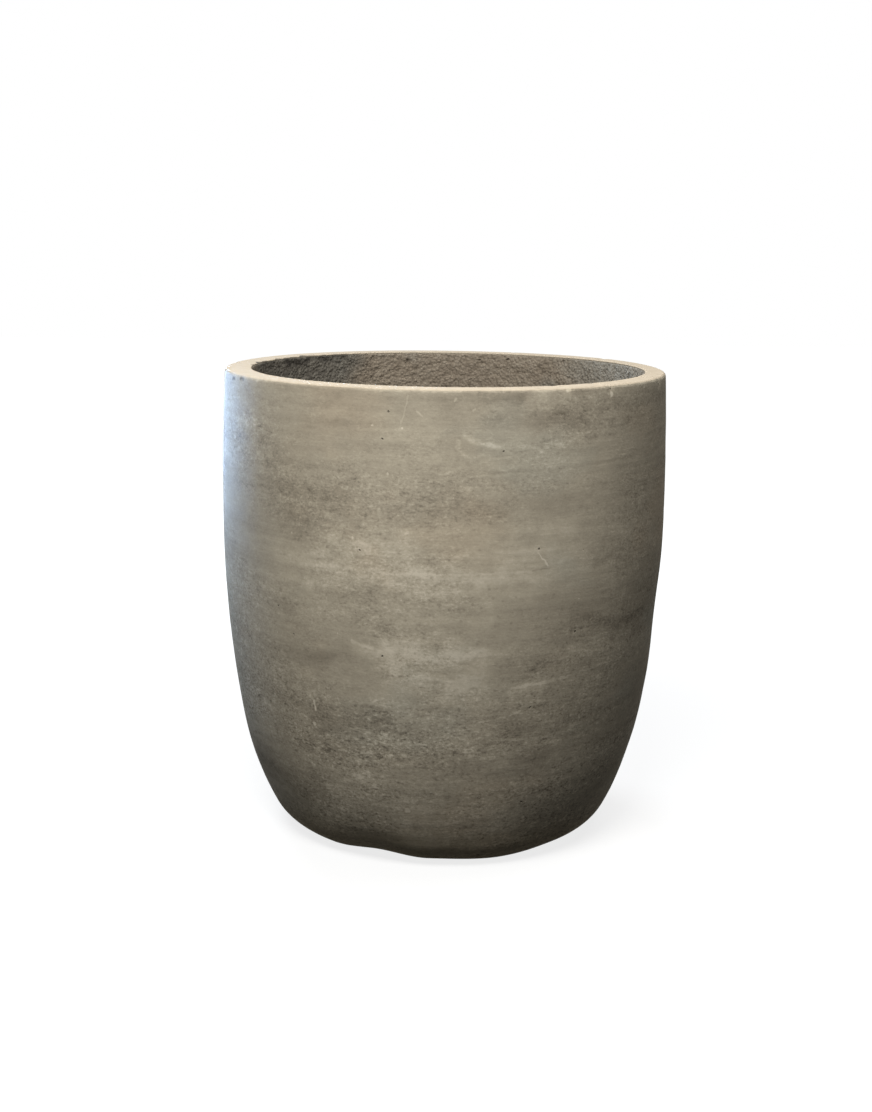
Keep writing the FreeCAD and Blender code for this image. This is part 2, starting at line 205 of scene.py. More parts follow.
def newMaterial(name):
    material = bpy.data.materials.new(name)
    material.use_nodes = True
    tree = material.node_tree
    return material, tree, tree.nodes["Principled BSDF"]


# Detail, seed and stretch of each kind of unevenness in the wet mortar
workNoise = {
    "Wave": (1.0, 0.0, None),
    "Lift": (2.0, 11.0, (0.16, 0.16, 1.0)),
    "Lump": (3.0, 23.0, None),
    "Chip": (3.0, 37.0, None),
}
pitReach = 0.34  # of the pits' spacing
chipFull = 0.6  # noise from here up breaks the edge fully


# Geometry Nodes: turns a section round the pot's axis and works the wet mortar's surface
def turnedCoatTree():
    tree = bpy.data.node_groups.new("turnedCoat", "GeometryNodeTree")
    face = tree.interface
    face.new_socket("Section", in_out="INPUT", socket_type="NodeSocketGeometry")
    face.new_socket("Segments", in_out="INPUT", socket_type="NodeSocketInt")
    face.new_socket("Seed", in_out="INPUT", socket_type="NodeSocketFloat")
    for kind in ("Wave", "Lift", "Lump", "Pit", "Chip"):
        face.new_socket(kind + " Depth", in_out="INPUT", socket_type="NodeSocketFloat")
        face.new_socket(kind + " Scale", in_out="INPUT", socket_type="NodeSocketFloat")
    face.new_socket("Finish", in_out="INPUT", socket_type="NodeSocketMaterial")
    face.new_socket("Coat", in_out="OUTPUT", socket_type="NodeSocketGeometry")
    given = tree.nodes.new("NodeGroupInput").outputs
    section = put(tree, "GeometryNodeMeshToCurve", {"Mesh": given["Section"]})
    ring = put(tree, "GeometryNodeCurvePrimitiveCircle", {"Resolution": given["Segments"], "Radius": 1.0})
    level = put(tree, "GeometryNodeSetCurveNormal", {"Curve": ring.outputs["Curve"]}, mode="Z_UP")
    turned = put(tree, "GeometryNodeCurveToMesh",
                 {"Curve": level.outputs["Curve"], "Profile Curve": section.outputs["Curve"]})
    outward = put(tree, "GeometryNodeFlipFaces", {"Mesh": turned.outputs["Mesh"]})
    place = tree.nodes.new("GeometryNodeInputPosition").outputs[0]
    normal = tree.nodes.new("GeometryNodeInputNormal").outputs[0]

    def kept(label):  # a value that the section's rows carry
        made = put(tree, "GeometryNodeInputNamedAttribute", {"Name": label}, data_type="FLOAT")
        return made.outputs["Attribute"]

    def field(kind):  # noise between -1 and 1
        detail, lead, stretch = workNoise[kind]
        seed = maths(tree, "ADD", given["Seed"], lead)
        found = cloud(tree, place, given[kind + " Scale"], detail, seed, stretch)[0]
        return maths(tree, "MULTIPLY_ADD", found, 2.0, -1.0)

    hand, edge = kept("hand"), kept("edge")
    wave, lift, lump = (maths(tree, "MULTIPLY", field(kind), given[kind + " Depth"])
                        for kind in ("Wave", "Lift", "Lump"))
    dots = put(tree, "ShaderNodeTexVoronoi",
               {"Vector": place, "W": given["Seed"], "Scale": given["Pit Scale"]},
               voronoi_dimensions="4D").outputs["Distance"]
    pit = maths(tree, "MULTIPLY", span(tree, dots, 0.0, pitReach, 1.0, 0.0), given["Pit Depth"])
    worked = maths(tree, "SUBTRACT", maths(tree, "ADD", maths(tree, "ADD", wave, lift), lump), pit)
    broken = span(tree, field("Chip"), 0.0, chipFull)
    chipped = maths(tree, "MULTIPLY", maths(tree, "MULTIPLY", broken, given["Chip Depth"]), edge)
    shift = maths(tree, "SUBTRACT", maths(tree, "MULTIPLY", worked, hand), chipped)
    moved = put(tree, "GeometryNodeSetPosition",
                {"Geometry": outward.outputs["Mesh"], "Offset": scaled(tree, normal, shift)})
    smooth = put(tree, "GeometryNodeSetShadeSmooth", {"Geometry": moved.outputs[0]})
    real = put(tree, "GeometryNodeRealizeInstances", {"Geometry": smooth.outputs[0]})
    painted = put(tree, "GeometryNodeSetMaterial",
                  {"Geometry": real.outputs[0], "Material": given["Finish"]})
    put(tree, "NodeGroupOutput", {"Coat": painted.outputs[0]})
    return tree


# A section is a list of rows: radius, height, how far the hand works there, how far the edge breaks
def turnCoat(name, tree, section, settings, material):
    mesh = bpy.data.meshes.new(name + "Section")
    count = len(section)
    mesh.from_pydata([(r - 1.0, -z, 0.0) for r, z, hand, edge in section],
                     [(k, (k + 1) % count) for k in range(count)], [])
    for column, label in ((2, "hand"), (3, "edge")):
        made = mesh.attributes.new(label, "FLOAT", "POINT")
        made.data.foreach_set("value", [row[column] for row in section])
    draft = bpy.data.objects.new(name + "Draft", mesh)
    bpy.context.scene.collection.objects.link(draft)
    modifier = draft.modifiers.new("turned", "NODES")
    modifier.node_group = tree
    values = {**settings, "Finish": material}
    for item in tree.interface.items_tree:
        if item.in_out == "INPUT" and item.name in values:
            modifier[item.identifier] = values[item.name]
    bpy.context.view_layer.update()
    shape = bpy.data.meshes.new_from_object(draft.evaluated_get(bpy.context.evaluated_depsgraph_get()))
    bpy.data.objects.remove(draft)
    shape.name = name
    for label in ("hand", "edge"):
        shape.attributes.remove(shape.attributes[label])
    coat = bpy.data.objects.new(name, shape)
    bpy.context.scene.collection.objects.link(coat)
    print(name, len(shape.polygons) * 2, "triangles")
    return coat


def workedRows(rows, hand=0.0, edge=0.0):
    return [(r, z, hand, edge) for r, z in rows]


# Spacing of the rows in metres, then how far the hand works the rim and how far its edge breaks
faceSection = {
    "foot": 0.012, "corner": 0.004, "wall": 0.005, "rimRound": 0.0009, "rimFlat": 0.0019,
    "arris": 0.0004, "cap": 0.005, "joint": 0.03,
    "roundHand": 0.6, "flatHand": 0.35, "arrisHand": 0.3, "lipHand": 0.2,
    "roundEdge": 0.35, "flatEdge": 0.15,
}


def faceRows(steps):
    s = potSizes
    top = s["height"]
    roundTop = top - s["rimRound"]
    roundAngle = upperAngle(s["rimRound"], roundTop)
    roundCentre = Vector(upperPoint(s["rimRound"], roundTop))
    arris = upperPoint(s["wall"], top - s["feather"])
    small = s["arrisRound"]
    arrisCentre = Vector((arris[0] + small, top - small))
    rows = workedRows(straightRows((s["bore"], 0), (s["footRadius"], 0), steps["foot"]))
    corner = arcRows(arcs["foot"], 0, -math.pi / 2, -arcs["footAngle"], steps["corner"])
    rows += [(r, z, k / len(corner), 0) for k, (r, z) in enumerate(corner)]
    wall = arcRows(arcs["tuck"], 0, -arcs["footAngle"], -arcs["lean"], steps["wall"])
    wall += arcRows(arcs["lower"], 0, -arcs["lean"], 0, steps["wall"])
    wall += arcRows(arcs["upper"], 0, 0, roundAngle, steps["wall"])
    rows += workedRows(wall, 1)
    rim = arcRows((roundCentre, s["rimRound"]), 0, roundAngle, math.pi / 2, steps["rimRound"])
    rows += workedRows(rim, steps["roundHand"], steps["roundEdge"])
    flat = straightRows((roundCentre.x, top), (arris[0] + small, top), steps["rimFlat"])
    least = steps["flatEdge"]
    rows += [(r, z, steps["flatHand"], least + (1 - least) * (k / len(flat)) ** 4)
             for k, (r, z) in enumerate(flat)]
    inner = arcRows((arrisCentre, small), 0, math.pi / 2, math.pi, steps["arris"])
    rows += workedRows(inner, steps["arrisHand"], 1)
    rows += workedRows([arris], steps["lipHand"], 1)
    cap = straightRows(arris, upperPoint(s["face"], top - s["face"]), steps["cap"])
    return rows + workedRows(cap[1:] + skinRows(steps["joint"]))


# Spacing of the rows in metres: the lip is the part of the inside that shows
backingSection = {
    "lip": 0.0017, "upper": 0.004, "lower": 0.0048, "corner": 0.0045, "floor": 0.005, "joint": 0.03,
    "lipDepth": 0.075, "boreRing": 0.008, "boreHand": 0.3, "fadeRows": 4,
}


def backingRows(steps):
    s = potSizes
    top = s["height"] - s["feather"]
    tuckCentre, tuckRadius = arcs["tuck"]
    reach = tuckRadius - s["wall"] - s["floorRound"]
    fall = tuckCentre.y - (s["floor"] + s["floorRound"])
    cornerAngle = math.asin(fall / reach)
    corner = Vector((tuckCentre.x + reach * math.cos(cornerAngle), s["floor"] + s["floorRound"]))
    lipEnd = upperAngle(s["wall"], top - steps["lipDepth"])
    ring = s["bore"] + steps["boreRing"]
    inside = arcRows(arcs["upper"], s["wall"], upperAngle(s["wall"], top), lipEnd, steps["lip"])
    inside += arcRows(arcs["upper"], s["wall"], lipEnd, 0, steps["upper"])
    inside += arcRows(arcs["lower"], s["wall"], 0, -arcs["lean"], steps["lower"])
    inside += arcRows(arcs["tuck"], s["wall"], -arcs["lean"], -cornerAngle, steps["lower"])
    inside += arcRows((corner, s["floorRound"]), 0, -cornerAngle, -math.pi / 2, steps["corner"])
    inside += straightRows((corner.x, s["floor"]), (ring, s["floor"]), steps["floor"])
    rows = [(r, z, min(1, k / steps["fadeRows"]), 0) for k, (r, z) in enumerate(inside)]
    rows += [(ring, s["floor"], steps["boreHand"], 0), (s["bore"], s["floor"], 0, 0)]
    return rows + workedRows(reversed(skinRows(steps["joint"])))


# A mesh's points or normals as rows of x, y and z
def readRows(mesh, what):
    found = np.empty(len(mesh.vertices) * 3)
    mesh.vertices.foreach_get(what, found)
    return found.reshape(-1, 3)


def movePoints(mesh, points):
    mesh.vertices.foreach_set("co", points.ravel())
    mesh.update()


def unrolled(points):  # millimetres across the wall from the front, up it, and out from the axis
    x, y, z = points.T * 1000
    return 1000 * bellyRadius * np.arctan2(x, -y), z, np.hypot(x, y)


def turnOf(across):  # degrees round from the front
    return np.degrees(across / (1000 * bellyRadius))


def grown(value, start, length):  # 0 up to the start, 1 from a length further on
    return np.clip((value - start) / length, 0, 1)


def eased(share):
    return share * share * (3 - 2 * share)


# Where the inner arris breaks away raggedly, in millimetres and degrees; along the broken edge runs a
# painted shadow line
arrisWear = {
    "from": -158.0, "to": -88.0, "fadeIn": 25.0, "fadeOut": 8.0,
    "waves": [(2.9, 0.0), (4.7, 1.1), (8.3, 2.3), (17.0, 0.5)],  # length for each radian, lead
    "radius": 203.0, "reach": 4.5, "depth": 2.6, "drop": 0.5,
    "above": 483.0, "fade": 3.0, "steady": 0.45, "varied": 0.55,
    # A painted shadow line under the broken edge: reach, edge, height, fade and how far it varies, in
    # millimetres
    "arrisShade": {"reach": 5.0, "edge": 1.5, "above": 480.0, "fade": 2.0, "steady": 0.55, "varied": 0.9},
}


def arrisBreaks(across, wear):
    turn = turnOf(across)
    inside = grown(turn, wear["from"], wear["fadeIn"]) * grown(wear["to"] - turn, 0, wear["fadeOut"])
    ragged = sum(np.sin(across / length + lead) for length, lead in wear["waves"])
    return inside, ragged / len(wear["waves"])


# How the clouds' edges stray, in millimetres: amount, length for each radian across and up, lead
strayAcross = [(9.0, 41.0, 17.0, 0.0), (5.0, -13.0, 7.3, 1.3)]
strayUp = [(5.0, 29.0, math.inf, 0.7), (3.5, 11.3, 19.0, 2.1), (2.0, 5.3, -11.0, 0.4)]


def strayBy(waves, across, up):
    return sum(amount * np.sin(across / wide + up / tall + lead) for amount, wide, tall, lead in waves)


# Tone of the marks at each point of the wall, kept with the mesh as one attribute: on the front mostly the
# broad clouds, with painted shade at the rim; on the inside painted shade and a painted pool of light; with
# wear, a painted shadow line under the broken inner arris
def paintStainShadeAndLight(coat, rows, wear=None):
    across, up, radius = unrolled(readRows(coat.data, "co"))
    led = across + strayBy(strayAcross, across, up)
    rise = up + strayBy(strayUp, across, up)
    total = np.zeros(len(across))
    for x0, z0, x1, z1, reach, tone in rows:
        square = max((x1 - x0) ** 2 + (z1 - z0) ** 2, 1e-6)
        along = np.clip(((led - x0) * (x1 - x0) + (rise - z0) * (z1 - z0)) / square, 0, 1)
        gap = np.hypot(led - x0 - along * (x1 - x0), rise - z0 - along * (z1 - z0))
        total += tone * eased(np.clip(1 - gap / reach, 0, 1))
    # Under the broken inner arris the tone drops: a painted shadow line
    if wear:
        arrisShade = wear["arrisShade"]
        inside, ragged = arrisBreaks(across, wear)
        bite = arrisShade["reach"] * (arrisShade["steady"] + arrisShade["varied"] * ragged) - (radius - wear["radius"])
        total -= inside * grown(bite, 0, arrisShade["edge"]) * grown(up, arrisShade["above"], arrisShade["fade"])
    coat.data.attributes.new("stainShadeAndLight", "FLOAT", "POINT").data.foreach_set("value", total)


# Hollows and swellings of the foot and flank, then chips of the rim, in millimetres:
# across, up, half length, half height, depth
dents = [
    (-95, 8, 78, 40, 4.2), (88, 8, 95, 34, -2.0), (335, 80, 110, 60, 1.4), (335, 240, 120, 70, 1.8),
    (176, 487, 5, 4, 1.3), (279, 486, 8, 5, 1.4), (122, 488, 7, 3, 0.8), (-272, 483, 6, 4, 0.8),
    (-248, 485, 6, 4, 0.8), (-400, 487, 9, 4, 1.0), (520, 487, 8, 4, 1.2), (650, 487, 6, 3, 0.9),
]
# Dents press the outside only: the foot's face looks down, the rim's up, and the flat foot is spared
dentZone = {"footBelow": 100.0, "rimAbove": 470.0, "flatFoot": 112.0, "fade": 30.0}


def pressDents(coat, rows, zone, wear):
    points, normals = readRows(coat.data, "co"), readRows(coat.data, "normal")
    across, up, radius = unrolled(points)
    x, y = points.T[:2] * 1000
    upright = np.where(up < zone["footBelow"], -1, up > zone["rimAbove"])
    facing = (normals[:, 0] * x + normals[:, 1] * y) / radius + normals[:, 2] * upright
    outer = (facing > 0) * grown(radius, zone["flatFoot"], zone["fade"])
    shift = np.zeros(points.shape)
    for centre, height, length, tall, depth in rows:
        gap = np.hypot((across - centre) / length, (up - height) / tall)
        shift -= normals * (depth * eased(np.clip(1 - gap, 0, 1) * outer))[:, None]
    inside, ragged = arrisBreaks(across, wear)
    near = np.clip(1 - np.abs(radius - wear["radius"]) / wear["reach"], 0, 1)
    near = near * grown(up, wear["above"], wear["fade"])
    push = wear["depth"] * inside * near * (wear["steady"] + wear["varied"] * ragged)
    way = np.stack([x / radius, y / radius, np.full(len(x), -wear["drop"])], 1)
    points += (shift + way * push[:, None]) / 1000
    points[:, 2] = np.maximum(points[:, 2], 0)
    movePoints(coat.data, points)


# The mouth isn't quite true: the wall is thinner at the right, in millimetres and degrees
mouthDrift = {
    "shift": 6.5, "towards": 96.0, "spread": 62.0,
    "inner": 207.0, "outer": 224.0, "from": 150.0, "full": 440.0,
}


def driftMouth(coat, drift):
    points = readRows(coat.data, "co")
    across, up, radius = unrolled(points)
    away = np.clip(np.abs(turnOf(across) - drift["towards"]) / drift["spread"], 0, 1)
    high = grown(up, drift["from"], drift["full"] - drift["from"])
    deep = grown(drift["outer"] - radius, 0, drift["outer"] - drift["inner"])
    push = drift["shift"] * (0.5 + 0.5 * np.cos(np.pi * away)) * eased(high) * deep
    points[:, :2] *= (1 + push / radius)[:, None]
    movePoints(coat.data, points)


# Shader group: a soft stroke on the unrolled wall, between two points
def strokeGroup():
    tree = bpy.data.node_groups.new("trowelStroke", "ShaderNodeTree")
    for name in ("Point", "From", "To"):
        tree.interface.new_socket(name, in_out="INPUT", socket_type="NodeSocketVector")
    for name in ("Inner", "Reach"):
        tree.interface.new_socket(name, in_out="INPUT", socket_type="NodeSocketFloat")
    tree.interface.new_socket("Mask", in_out="OUTPUT", socket_type="NodeSocketFloat")
    given = tree.nodes.new("NodeGroupInput").outputs
    run = vectors(tree, "SUBTRACT", given["To"], given["From"])
    lead = vectors(tree, "SUBTRACT", given["Point"], given["From"])
    square = maths(tree, "MAXIMUM", vectors(tree, "DOT_PRODUCT", run, run), 1e-9)
    along = maths(tree, "DIVIDE", vectors(tree, "DOT_PRODUCT", lead, run), square, clamp=True)
    gap = vectors(tree, "DISTANCE", lead, scaled(tree, run, along))
    put(tree, "NodeGroupOutput", {"Mask": span(tree, gap, given["Inner"], given["Reach"], 1.0, 0.0)})
    return tree


# Marks on the front of the wall in millimetres: across and up at both ends, reach, tone
clouding = [
    (-105, 312, 105, 326, 62, 0.24), (-47, 219, 28, 221, 48, 0.36), (75, 199, 112, 203, 20, 0.20),
    (91, 473, 150, 474, 18, 0.06), (130, 272, 240, 268, 55, -0.16), (-142, 196, -138, 190, 28, 0.14),
    (-137, 162, -50, 160, 20, -0.22), (45, 152, 86, 149, 17, -0.18), (0, 118, 112, 113, 22, -0.24),
    (-45, 58, 75, 54, 40, 0.20), (-182, 403, -160, 357, 30, -0.10), (-170, 328, -68, 337, 20, 0.10),
    (-113, 294, -66, 291, 13, -0.16), (-227, 272, -163, 280, 12, -0.18), (-30, 325, 8, 326, 9, -0.17),
    (31, 325, 47, 325, 8, -0.15), (75, 319, 104, 318, 6, -0.12), (-61, 311, 73, 312, 9, 0.06),
    (89, 455, 140, 454, 13, -0.15), (22, 471, 91, 474, 20, 0.10), (159, 323, 214, 318, 9, -0.16),
    (137, 263, 245, 255, 11, -0.14), (-98, 244, -45, 238, 9, 0.15), (-45, 238, 61, 243, 11, 0.13),
    (-147, 224, -104, 231, 14, -0.18), (72, 198, 116, 202, 8, 0.12), (116, 202, 186, 210, 8, 0.08),
    (93, 216, 116, 212, 12, -0.20), (-131, 91, -89, 98, 16, 0.12), (-289, 80, -185, 74, 26, -0.14),
    # The first two rows here, 486 to 487 mm up, are painted shade: they darken the rim's outer round, which
    # the lamp above brightens
    (-35, 486, 60, 487, 10, -0.14), (60, 487, 165, 486, 10, -0.14), (-58, 178, 34, 174, 13, 0.16),
    (-51, 274, 35, 272, 17, 0.10), (121, 231, 223, 248, 11, 0.13), (-138, 311, -106, 309, 16, -0.13),
    (87, 362, 121, 318, 20, -0.10), (-143, 100, -111, 91, 20, -0.12), (-27, 137, 23, 109, 20, 0.10),
    (-56, 248, -36, 246, 16, -0.13), (40, 160, 131, 149, 14, -0.13), (-62, 157, -20, 155, 11, -0.12),
    (20, 202, 40, 200, 14, -0.10),
]
scratches = [
    (-35, 483, -42, 457, 1.0, 0.14), (-27, 469, -22, 465, 1.1, 0.22), (177, 481.5, 177, 479.5, 2.6, 0.75),
    (120, 486.5, 125, 487, 2.0, 0.32), (-39, 71, -37, 71, 3.4, 0.30), (12, 412, 209, 418, 2.6, -0.09),
    (91, 335, 102, 322, 1.0, 0.38), (-139, 178, -137.5, 169, 1.9, 0.75),
    (-142, 153, -141.2, 153, 2.9, 0.8), (-90.5, 245.5, -68.5, 241, 2.6, 0.2),
    (39, 169, 66, 172, 1.3, 0.20), (70, 174, 82, 178, 1.3, 0.22), (52, 150, 97, 146, 2.8, 0.14),
    (97, 146, 154, 150, 2.6, 0.12), (8, 479, 9.5, 481, 1.2, 0.26), (26, 470, 27, 471, 1.2, 0.26),
    (-206, 400, -148, 413, 1.8, 0.10), (-61, 316, 85, 317.5, 1.8, 0.12), (70, 202, 116, 206.5, 2.4, 0.20),
    (116, 206.5, 186, 214, 2.2, 0.16), (86, 318.5, 104, 319, 1.2, -0.18),
    # These two dark marks sit in two dents under the rim: painted shade in the pits
    (-276, 483, -269, 483.5, 2.6, -0.5), (-252, 485, -245, 485.5, 2.4, -0.45),
]
smear = [
    (17, 447, 22, 444, 5.0, 0.12), (22, 444, 34, 440, 4.2, 0.20), (34, 440, 51, 436, 3.6, 0.30),
    (51, 436, 71, 437, 5.5, 0.13), (71, 437, 88, 434, 3.2, 0.20), (98, 436, 100, 436, 5.0, 0.26),
    (92, 431.5, 93, 432, 4.5, 0.20), (98, 436, 124, 438.5, 6.0, 0.13), (12.3, 441, 11.5, 436, 3.4, 0.15),
    (11.5, 436, 19, 428, 3.6, 0.15), (19, 428, 26, 426, 4.5, 0.10),
]
# The same for the wall's inside, which shows at the back: painted shade at the back left, a painted shadow
# line under the rim's edge there, and a painted pool of light at the right
insideShadeAndLight = [
    (-575, 470, -440, 478, 75, -0.25), (-600, 489, -420, 489, 9, -0.32), (420, 470, 520, 476, 80, 0.16),
]
# Small round marks: across and up
pinholes = [
    (-54, 468), (-59, 442), (-81, 336), (137, 253), (-59, 234), (55, 432), (94, 77), (92, 339), (92, 181),
    (177, 485.5), (279, 483),
]
limeSpots = [(-69, 455), (-41, 453), (-158, 345), (-88, 348), (-36, 355), (-54, 410), (142, 166)]
blisters = [(31, 201), (-38, 71)]

faceFinish = {
    "tones": [(0.0, (0.150, 0.130, 0.098)), (0.32, (0.262, 0.230, 0.177)), (0.5, (0.335, 0.297, 0.230)),
              (0.68, (0.405, 0.361, 0.280)), (1.0, (0.555, 0.502, 0.405))],
    "cream": [(0.2, (0.352, 0.294, 0.219)), (0.5, (0.438, 0.372, 0.284)), (0.8, (0.506, 0.438, 0.345))],
    "warm": (1.08, 0.98, 0.90, 1), "cool": (0.94, 1.00, 1.05, 1), "footStain": (0.92, 0.88, 0.80, 1),
    # The two near-black colours are painted shade: in the pinholes, and in the line under the broken inner
    # arris
    "pinholeShadeColour": (0.030, 0.026, 0.020, 1), "arrisShadeColour": (0.055, 0.052, 0.048, 1),
    "specular": 0.05, "roughness": (0.76, 0.90),
    "noise": {
        "stray": {"scale": 140.0, "detail": 3.0, "seed": 5.0},
        "lifts": {"scale": 1.0, "detail": 5.0, "seed": 1.0, "stretch": (2.6, 2.6, 30.0), "rough": 0.58},
        "fineLifts": {"scale": 1.0, "detail": 4.0, "seed": 7.0, "stretch": (6.0, 6.0, 95.0), "rough": 0.6},
        "clouds": {"scale": 9.0, "detail": 5.0, "seed": 3.0, "stretch": (1.0, 1.0, 1.5), "rough": 0.6},
        "blotch": {"scale": 42.0, "detail": 5.0, "seed": 4.0, "stretch": (1.0, 1.0, 1.6), "rough": 0.62},
        "mottle": {"scale": 150.0, "detail": 4.0, "seed": 6.0, "stretch": (0.7, 0.7, 1.35)},
        "speckle": {"scale": 400.0, "detail": 2.0, "seed": 9.0, "stretch": (0.8, 0.8, 1.25)},
        "grain": {"scale": 900.0, "detail": 2.0, "seed": 8.0},
        "rubbing": {"scale": 1.0, "detail": 4.0, "seed": 15.0, "stretch": (7.0, 7.0, 16.0), "rough": 0.6},
        "freckling": {"scale": 1.0, "detail": 4.0, "seed": 12.0, "stretch": (7.0, 7.0, 13.0)},
        "crackle": {"scale": 120.0, "detail": 3.0, "seed": 13.0},
        "crazing": {"scale": 1.0, "detail": 3.0, "seed": 14.0, "stretch": (9.0, 9.0, 15.0)},
        "warmth": {"scale": 1.0, "detail": 4.0, "seed": 21.0, "stretch": (6.0, 6.0, 9.0)},
    },
    "strayBy": 0.005, "crackleBy": 0.006,  # metres that points are led astray
    "base": -0.44, "sandBase": -0.34, "creamBase": -0.18,
    # Heights on the pot in metres between which each changes
    "sandedHeight": (0.10, 0.30), "crazedHeight": (0.10, 0.20), "footHeight": (0.02, 0.075),
    "rubbedHeight": (0.4882, 0.4890),
    "freckles": {"scale": 135.0, "reach": (0.08, 0.30), "patch": (0.46, 0.62), "tone": -0.17},
    "crazing": {"scale": 150.0, "reach": (0.02, 0.16), "patch": (0.53, 0.64), "tone": (0.24, 0.08)},
    "holes": {"scale": 50.0, "reach": (0.025, 0.055), "share": (0.6, 0.62)},
    "specks": {"scale": 64.0, "reach": (0.02, 0.055), "share": (0.66, 0.68)},
    "speckShift": (3.1, 1.7, 0.4), "speckTone": 0.4, "pinholeShadeCover": 0.62,
    # Placed marks in millimetres: inner is the share of the reach that is covered fully
    "scratchInner": 0.25, "smearInner": 0.05,
    "lime": {"reach": 1.7, "inner": 0.3}, "limeTone": 0.42,
    "pinhole": {"reach": 1.4, "inner": 0.35},
    "blister": {"reach": 6.0, "inner": 0.6}, "blisterTop": {"reach": 4.0, "inner": 0.5}, "blisterTone": -0.2,
}


# Fine mortar trowelled on in level lifts, rubbed smooth and sealed
def faceMortar(settings):
    material, tree, shader = newMaterial("faceMortar")
    place = tree.nodes.new("ShaderNodeTexCoord").outputs["Object"]
    axis = put(tree, "ShaderNodeSeparateXYZ", {0: place}).outputs
    around = maths(tree, "ARCTAN2", axis["X"], maths(tree, "MULTIPLY", axis["Y"], -1.0))
    wall = put(tree, "ShaderNodeCombineXYZ",
               {"X": maths(tree, "MULTIPLY", around, bellyRadius), "Y": axis["Z"]}).outputs[0]

    def noise(name, output="Fac"):
        return cloud(tree, place, **settings["noise"][name])[output]

    # The unrolled wall with its points led a little astray, so that marks have uneven edges
    stray = vectors(tree, "SUBTRACT", noise("stray", "Color"), (0.5, 0.5, 0.5))
    astray = (settings["strayBy"], settings["strayBy"], 0)
    point = vectors(tree, "ADD", wall, vectors(tree, "MULTIPLY", stray, astray))
    stroke = strokeGroup()

    def mark(row, inner):
        x0, z0, x1, z1, reach = (value / 1000 for value in row[:5])
        wires = {"Point": point, "From": (x0, z0, 0), "To": (x1, z1, 0),
                 "Inner": reach * inner, "Reach": reach}
        return put(tree, "ShaderNodeGroup", wires, node_tree=stroke).outputs["Mask"]

    def spot(at, reach, inner):
        return mark((*at, *at, reach), inner)

    lifts, fineLifts, clouds, blotch = (noise(name) for name in ("lifts", "fineLifts", "clouds", "blotch"))
    mottle, speckle, grain = (noise(name) for name in ("mottle", "speckle", "grain"))
    tone = summed(tree, settings["base"], (
        (lifts, 0.64), (fineLifts, 0.36), (clouds, 0.56), (blotch, 0.32)))
    sanded = summed(tree, settings["sandBase"], (
        (mottle, 0.26), (speckle, 0.14), (grain, 0.28),
        (span(tree, speckle, 0.56, 0.64), 0.13), (span(tree, speckle, 0.36, 0.44, 1.0, 0.0), -0.13),
        (span(tree, mottle, 0.58, 0.64), 0.09), (span(tree, mottle, 0.36, 0.42, 1.0, 0.0), -0.09)))
    uneven = span(tree, noise("rubbing"), 0.38, 0.62, 0.4, 1.35)
    uneven = maths(tree, "MULTIPLY", uneven,
                   span(tree, axis["Z"], *settings["sandedHeight"], 1.78, 0.95))
    tone = maths(tree, "MULTIPLY_ADD", sanded, uneven, tone)
    # The stored tone: broad clouds, with painted shade at the rim and under the broken inner arris
    stainShadeAndLight = put(tree, "ShaderNodeAttribute", attribute_name="stainShadeAndLight").outputs["Fac"]
    tone = maths(tree, "MULTIPLY_ADD", stainShadeAndLight, span(tree, blotch, 0.32, 0.66, 0.6, 1.15), tone)

    # Freckles and fine crazing come in patches
    freckles, crazing = settings["freckles"], settings["crazing"]
    bits = cells(tree, place, freckles["scale"])
    patch = span(tree, noise("freckling"), *freckles["patch"])
    freckle = maths(tree, "MULTIPLY", span(tree, bits["Distance"], *freckles["reach"], 1.0, 0.0), patch)
    tone = maths(tree, "MULTIPLY_ADD", freckle, freckles["tone"], tone)
    led = vectors(tree, "ADD", place, scaled(tree, noise("crackle", "Color"), settings["crackleBy"]))
    crackle = cells(tree, led, crazing["scale"], "DISTANCE_TO_EDGE")
    crazed = span(tree, noise("crazing"), *crazing["patch"])
    crazed = maths(tree, "MULTIPLY", crazed, span(tree, mottle, 0.42, 0.60))
    lines = maths(tree, "MULTIPLY", span(tree, crackle["Distance"], *crazing["reach"], 1.0, 0.0), crazed)
    lineTone = span(tree, axis["Z"], *settings["crazedHeight"], *crazing["tone"])
    tone = maths(tree, "MULTIPLY_ADD", lines, lineTone, tone)

    # Scratches, lime spots and pinholes, placed and scattered
    for row in scratches:
        tone = maths(tree, "MULTIPLY_ADD", mark(row, settings["scratchInner"]), row[5], tone)
    smeared = 0.0
    for row in smear:
        covered = maths(tree, "MULTIPLY", mark(row, settings["smearInner"]), row[5])
        smeared = maths(tree, "MAXIMUM", covered, smeared)
    tone = maths(tree, "MULTIPLY_ADD", smeared, span(tree, speckle, 0.35, 0.6, 0.75, 1.2), tone)
    for at in limeSpots:
        tone = maths(tree, "MULTIPLY_ADD", spot(at, **settings["lime"]), settings["limeTone"], tone)
    for at in blisters:
        ring = maths(tree, "SUBTRACT", spot(at, **settings["blister"]), spot(at, **settings["blisterTop"]))
        tone = maths(tree, "MULTIPLY_ADD", ring, settings["blisterTone"], tone)
    hole = scattered(tree, place, **settings["holes"])
    for at in pinholes:
        hole = maths(tree, "MAXIMUM", hole, spot(at, **settings["pinhole"]))
    speck = scattered(tree, vectors(tree, "ADD", place, settings["speckShift"]), **settings["specks"])
    tone = maths(tree, "MULTIPLY_ADD", speck, settings["speckTone"], tone)

